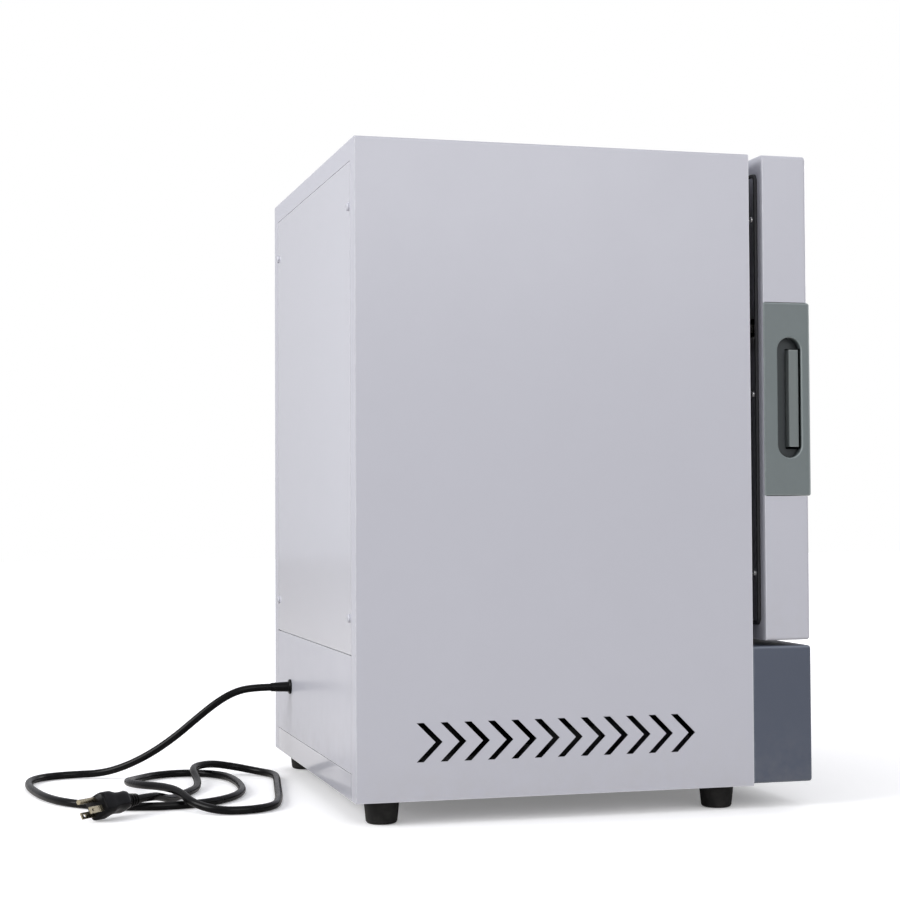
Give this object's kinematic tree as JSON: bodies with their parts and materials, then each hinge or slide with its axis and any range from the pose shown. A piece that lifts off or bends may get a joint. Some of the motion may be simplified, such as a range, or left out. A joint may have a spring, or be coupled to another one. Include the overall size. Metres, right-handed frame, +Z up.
{
  "type": "laboratory drying oven",
  "caption": "Bench drying oven with a right-hinged windowed door, recessed side latch, heated chamber with wire shelves, front control panel and mains lead.",
  "frame": {"origin": "on the surface it stands on, under the centre of the oven's bounding box, feet, handle, hinge barrels and rear screw heads included, lead and plug left out", "axes": "+X to the oven's right as seen from its front, -Y out of its front, +Z up"},
  "size_m": [0.438, 0.7478, 0.6561],
  "materials": {
    "cabinet_paint": "satin grey-white enamel",
    "rear_paint": "glossy white enamel",
    "zinc_sheet": "galvanised sheet",
    "screw_steel": "bright zinc plating",
    "hinge_steel": "nickel plated",
    "spring_steel": "oiled spring steel",
    "stainless": "brushed stainless",
    "shelf_wire": "polished stainless wire",
    "heater_sheath": "dark oxidised sheath",
    "motor_paint": "dark enamel",
    "aluminium": "natural extrusion",
    "mineral_wool": "fibrous wool",
    "gasket_rubber": "moulded silicone",
    "foot_rubber": "moulded rubber",
    "cord_rubber": "soft moulded jacket",
    "panel_plastic": "slate moulding",
    "button_plastic": "light grey moulding",
    "black_plastic": "black moulding",
    "rocker_plastic": "black gloss moulding",
    "relay_plastic": "pale moulding",
    "terminal_plastic": "cream moulding",
    "board_green": "solder-masked board",
    "handle_plastic": "grey moulding",
    "paddle_plastic": "grey moulding",
    "window_trim": "black trim",
    "window_glass": "clear toughened glass",
    "display_glass": "smoked window",
    "plug_brass": "nickel-washed brass"
  },
  "bodies": {
    "cabinet": {"cabinet_shell": "cabinet_paint", "base_pan": "zinc_sheet", "rear_cover": "rear_paint", "rear_lower_panel": "rear_paint", "rear_cover_screws": "screw_steel", "front_frame": "cabinet_paint", "chamber_liner": "stainless", "chamber_gasket": "gasket_rubber", "chamber_insulation": "mineral_wool", "insulation_base": "mineral_wool", "base_deck": "zinc_sheet", "chamber_floor_plate": "stainless", "heating_element": "heater_sheath", "fan_motor": "motor_paint", "motor_bracket": "zinc_sheet", "shelf_rails": "stainless", "shelf_lower": "shelf_wire", "shelf_upper": "shelf_wire", "vent_tube": "stainless", "damper_pin": "screw_steel", "temperature_probe": "stainless", "control_panel": "panel_plastic", "display_window": "display_glass", "controller_module": "black_plastic", "keypad_board": "board_green", "switch_housing": "black_plastic", "heat_sink": "aluminium", "relay": "relay_plastic", "terminal_block": "terminal_plastic", "rubber_feet": "foot_rubber", "foot_screws": "screw_steel", "hinge_cabinet_leaves": "hinge_steel", "hinge_pins": "screw_steel", "striker": "hinge_steel", "cord_bushing": "cord_rubber", "power_cord": "cord_rubber", "plug_body": "cord_rubber", "plug_pins": "plug_brass"},
    "door": {"door_shell": "cabinet_paint", "door_seal": "gasket_rubber", "door_inner_panel": "stainless", "door_panel_screws": "screw_steel", "door_insulation": "mineral_wool", "window_frame": "window_trim", "window_panes": "window_glass", "handle_block": "handle_plastic", "hinge_door_leaves": "hinge_steel", "latch_spring": "spring_steel"},
    "latch": {"latch_paddle": "paddle_plastic", "latch_shaft": "screw_steel", "latch_hook": "hinge_steel"},
    "damper": {"vent_damper": "stainless"},
    "fan": {"fan_shaft": "screw_steel", "fan_wheel": "stainless"},
    "rocker": {"switch_rocker": "rocker_plastic"},
    "button_1": {"button_1": "button_plastic"},
    "button_2": {"button_2": "button_plastic"},
    "button_3": {"button_3": "button_plastic"},
    "button_4": {"button_4": "button_plastic"}
  },
  "joints": [
    {"name": "door_hinge", "type": "hinge", "parent": "cabinet", "child": "door", "pos_m": [0.2145, -0.1742, 0.402], "axis": [0, 0, 1], "range_deg": [0, 110]},
    {"name": "latch_pull", "type": "hinge", "parent": "door", "child": "latch", "pos_m": [-0.192, -0.2142, 0.402], "axis": [0, 0, 1], "range_deg": [0, 8], "stiffness_Nm_per_rad": 0.6, "springref_deg": -5.73, "deforming": ["latch_spring"]},
    {"name": "damper_swing", "type": "hinge", "parent": "cabinet", "child": "damper", "pos_m": [0.027, 0.0328, 0.653], "axis": [0, 0, 1], "range_deg": [0, 90]},
    {"name": "fan_spin", "type": "hinge", "parent": "cabinet", "child": "fan", "pos_m": [0, -0.0022, 0.162], "axis": [0, 0, 1], "continuous": true},
    {"name": "switch_rock", "type": "hinge", "parent": "cabinet", "child": "rocker", "pos_m": [0.15, -0.2257, 0.092], "axis": [-1, 0, 0], "range_deg": [0, 14]},
    {"name": "button_1_press", "type": "slide", "parent": "cabinet", "child": "button_1", "axis": [0, 1, 0], "range_m": [0, 0.0015], "stiffness_N_per_m": 600, "springref_m": -0.0005},
    {"name": "button_2_press", "type": "slide", "parent": "cabinet", "child": "button_2", "axis": [0, 1, 0], "range_m": [0, 0.0015], "stiffness_N_per_m": 600, "springref_m": -0.0005},
    {"name": "button_3_press", "type": "slide", "parent": "cabinet", "child": "button_3", "axis": [0, 1, 0], "range_m": [0, 0.0015], "stiffness_N_per_m": 600, "springref_m": -0.0005},
    {"name": "button_4_press", "type": "slide", "parent": "cabinet", "child": "button_4", "axis": [0, 1, 0], "range_m": [0, 0.0015], "stiffness_N_per_m": 600, "springref_m": -0.0005}
  ]
}
